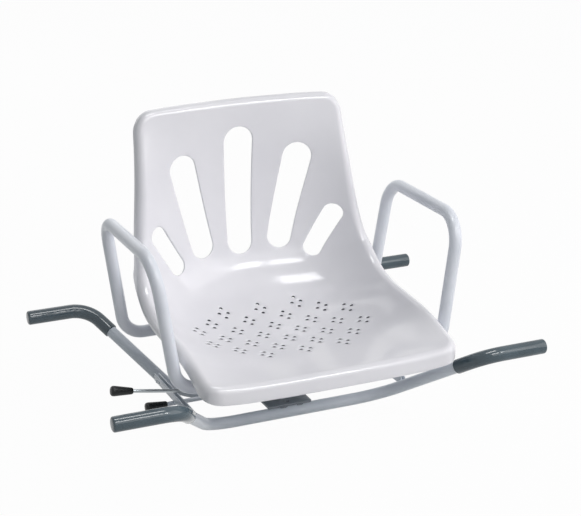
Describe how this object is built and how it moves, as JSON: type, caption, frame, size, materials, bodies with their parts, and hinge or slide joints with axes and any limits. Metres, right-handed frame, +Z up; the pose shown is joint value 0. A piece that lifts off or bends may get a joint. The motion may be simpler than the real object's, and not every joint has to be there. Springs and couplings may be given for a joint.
{
  "type": "swivelling bath seat",
  "caption": "Moulded bath seat with arm loops that turns on a tubular frame hung between the rims of a bath, with a lock lever and a brake lever.",
  "frame": {"origin": "on the ground below the swivel axis, at the middle of the frame's footprint", "axes": "+Z up along the swivel axis, -Y the way the sitter faces at rest, +X to the right as seen from the front"},
  "size_m": [0.736, 0.5138, 0.492],
  "materials": {
    "frame_coat": "light grey-blue powder coat, satin",
    "arm_coat": "white powder coat, satin",
    "grip_vinyl": "smooth vinyl, glossy",
    "seat_plastic": "moulded, glossy",
    "knob_plastic": "moulded, satin",
    "bright_steel": "bright",
    "bush_nylon": "matte"
  },
  "bodies": {
    "base_frame": {"front_base_tube": "frame_coat", "front_left_grip": "grip_vinyl", "front_right_grip": "grip_vinyl", "rear_base_tube": "frame_coat", "rear_left_grip": "grip_vinyl", "rear_right_grip": "grip_vinyl", "left_tie_bar": "frame_coat", "right_tie_bar": "frame_coat", "centre_plate": "frame_coat", "pivot_post": "frame_coat", "post_screw_front_left": "bright_steel", "post_screw_rear_left": "bright_steel", "post_screw_front_right": "bright_steel", "post_screw_rear_right": "bright_steel", "lower_bush": "bush_nylon", "upper_bush": "bush_nylon", "retaining_washer": "bright_steel", "retaining_bolt": "bright_steel", "lock_lever_bracket": "frame_coat", "lock_lever_pivot_pin": "bright_steel", "brake_pivot_bolt": "bright_steel"},
    "seat_swivel": {"turning_sleeve": "frame_coat", "index_plate": "frame_coat", "top_plate": "frame_coat", "left_arm_tube": "arm_coat", "right_arm_tube": "arm_coat", "arm_screw_front_left": "bright_steel", "arm_screw_rear_left": "bright_steel", "arm_screw_front_right": "bright_steel", "arm_screw_rear_right": "bright_steel", "seat_screw_front_left": "bright_steel", "seat_screw_rear_left": "bright_steel", "seat_screw_front_right": "bright_steel", "seat_screw_rear_right": "bright_steel", "seat_shell": "seat_plastic"},
    "lock_lever": {"lock_lever_rod": "bright_steel", "lock_lever_knob": "knob_plastic", "lock_pin": "bright_steel"},
    "brake_lever": {"brake_lever_bar": "frame_coat", "brake_lever_knob": "knob_plastic"}
  },
  "joints": [
    {"name": "seat_turn", "type": "hinge", "parent": "base_frame", "child": "seat_swivel", "pos_m": [0, 0, 0.07], "axis": [0, 0, 1], "continuous": true},
    {"name": "lock_lever_lift", "type": "hinge", "parent": "base_frame", "child": "lock_lever", "pos_m": [-0.023, -0.024, 0.0328], "axis": [0, 1, 0], "range_deg": [0, 7.5]},
    {"name": "brake_lever_swing", "type": "hinge", "parent": "base_frame", "child": "brake_lever", "pos_m": [-0.05, 0.008, 0.028], "axis": [0, 0, 1], "range_deg": [0, 20]}
  ]
}
